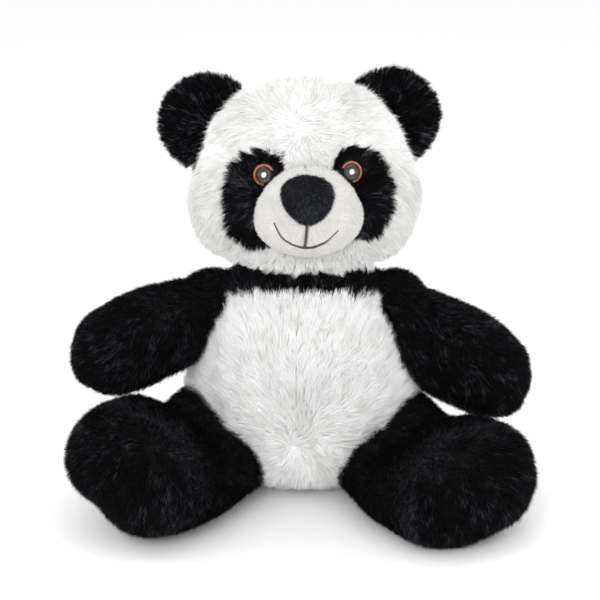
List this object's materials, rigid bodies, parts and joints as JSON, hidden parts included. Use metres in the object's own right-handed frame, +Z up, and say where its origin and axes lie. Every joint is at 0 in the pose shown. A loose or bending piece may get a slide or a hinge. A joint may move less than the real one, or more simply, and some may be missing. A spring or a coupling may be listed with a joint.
{
  "type": "plush panda",
  "caption": "Sitting stuffed panda toy with long soft pile, stubby limbs spread forward, round ears and an embroidered face.",
  "frame": {"origin": "middle of the flat patch that the toy sits on, under the neck's centre plane", "axes": "+Z up, the toy faces -Y, and its own left side is +X"},
  "size_m": [0.2787, 0.2053, 0.254],
  "materials": {
    "white_pile": "long brushed pile",
    "black_pile": "dense brushed pile",
    "muzzle_pile": "short sheared pile",
    "nose_pile": "short sheared pile",
    "copper_thread": "satin stitch",
    "taupe_thread": "satin stitch",
    "white_thread": "satin stitch",
    "dark_thread": "twisted cotton",
    "fibre_filling": "polyester fibre",
    "pellets": "small smooth beads",
    "label_ribbon": "woven satin ribbon"
  },
  "bodies": {
    "torso": {"torso_stuffing": "fibre_filling", "pellet_pouch": "pellets", "belly_panel": "white_pile", "chest_yoke": "black_pile", "back_yoke": "black_pile", "back_panel_left": "white_pile", "back_panel_right": "white_pile", "tail": "white_pile", "closing_seam": "dark_thread", "care_label": "label_ribbon"},
    "neck": {"neck_fill": "fibre_filling"},
    "head": {"head_stuffing": "fibre_filling", "head_gusset": "white_pile", "cheek_left": "white_pile", "cheek_right": "white_pile", "head_back_left": "white_pile", "head_back_right": "white_pile", "muzzle_left": "muzzle_pile", "muzzle_right": "muzzle_pile", "muzzle_stuffing": "fibre_filling", "nose": "nose_pile", "mouth_embroidery": "dark_thread", "eye_patch_left": "black_pile", "eye_patch_right": "black_pile", "iris_ring_left": "copper_thread", "iris_ring_right": "copper_thread", "pupil_left": "taupe_thread", "pupil_right": "taupe_thread", "eye_highlight_left": "white_thread", "eye_highlight_right": "white_thread"},
    "ear_left": {"ear_front_left": "black_pile", "ear_back_left": "black_pile"},
    "ear_right": {"ear_front_right": "black_pile", "ear_back_right": "black_pile"},
    "shoulder_left": {"shoulder_fill_left": "fibre_filling"},
    "arm_left": {"arm_front_left": "black_pile", "arm_back_left": "black_pile", "arm_stuffing_left": "fibre_filling"},
    "shoulder_right": {"shoulder_fill_right": "fibre_filling"},
    "arm_right": {"arm_front_right": "black_pile", "arm_back_right": "black_pile", "arm_stuffing_right": "fibre_filling"},
    "hip_left": {"hip_fill_left": "fibre_filling"},
    "leg_left": {"leg_outer_left": "black_pile", "leg_inner_left": "black_pile", "sole_left": "black_pile", "leg_stuffing_left": "fibre_filling"},
    "hip_right": {"hip_fill_right": "fibre_filling"},
    "leg_right": {"leg_outer_right": "black_pile", "leg_inner_right": "black_pile", "sole_right": "black_pile", "leg_stuffing_right": "fibre_filling"}
  },
  "joints": [
    {"name": "neck_turn", "type": "hinge", "parent": "torso", "child": "neck", "pos_m": [0, -0.004, 0.14], "axis": [0, 0, 1], "range_deg": [-25, 25], "stiffness_Nm_per_rad": 0.9},
    {"name": "head_nod", "type": "hinge", "parent": "neck", "child": "head", "pos_m": [0, -0.004, 0.14], "axis": [1, 0, 0], "range_deg": [-12, 12], "stiffness_Nm_per_rad": 2.4},
    {"name": "ear_fold_left", "type": "hinge", "parent": "head", "child": "ear_left", "pos_m": [0.04894, -0.00244, 0.22422], "axis": [-0.6065, -0.0318, 0.7944], "range_deg": [-10, 10], "stiffness_Nm_per_rad": 0.12},
    {"name": "ear_fold_right", "type": "hinge", "parent": "head", "child": "ear_right", "pos_m": [-0.05289, -0.00777, 0.22173], "axis": [0.5671, 0.0297, 0.8231], "range_deg": [-10, 10], "stiffness_Nm_per_rad": 0.12},
    {"name": "arm_swing_left", "type": "hinge", "parent": "torso", "child": "shoulder_left", "pos_m": [0.057, -0.011, 0.111], "axis": [0, 0, -1], "range_deg": [-12, 8], "stiffness_Nm_per_rad": 0.3},
    {"name": "arm_lift_left", "type": "hinge", "parent": "shoulder_left", "child": "arm_left", "pos_m": [0.057, -0.011, 0.111], "axis": [-0.2588, -0.9659, 0], "range_deg": [0, 45], "stiffness_Nm_per_rad": 0.45},
    {"name": "arm_swing_right", "type": "hinge", "parent": "torso", "child": "shoulder_right", "pos_m": [-0.057, -0.011, 0.111], "axis": [0, 0, 1], "range_deg": [-12, 8], "stiffness_Nm_per_rad": 0.3},
    {"name": "arm_lift_right", "type": "hinge", "parent": "shoulder_right", "child": "arm_right", "pos_m": [-0.057, -0.011, 0.111], "axis": [-0.4695, 0.8829, 0], "range_deg": [0, 45], "stiffness_Nm_per_rad": 0.45},
    {"name": "leg_spread_left", "type": "hinge", "parent": "torso", "child": "hip_left", "pos_m": [0.045, -0.015, 0.031], "axis": [0, 0, 1], "range_deg": [-5, 8], "stiffness_Nm_per_rad": 0.8},
    {"name": "leg_lift_left", "type": "hinge", "parent": "hip_left", "child": "leg_left", "pos_m": [0.045, -0.015, 0.031], "axis": [-0.8788, -0.4772, 0], "range_deg": [0, 8], "stiffness_Nm_per_rad": 0.8},
    {"name": "leg_spread_right", "type": "hinge", "parent": "torso", "child": "hip_right", "pos_m": [-0.045, -0.015, 0.031], "axis": [0, 0, -1], "range_deg": [-5, 8], "stiffness_Nm_per_rad": 0.8},
    {"name": "leg_lift_right", "type": "hinge", "parent": "hip_right", "child": "leg_right", "pos_m": [-0.045, -0.015, 0.031], "axis": [-0.8616, 0.5075, 0], "range_deg": [0, 8], "stiffness_Nm_per_rad": 0.8}
  ]
}
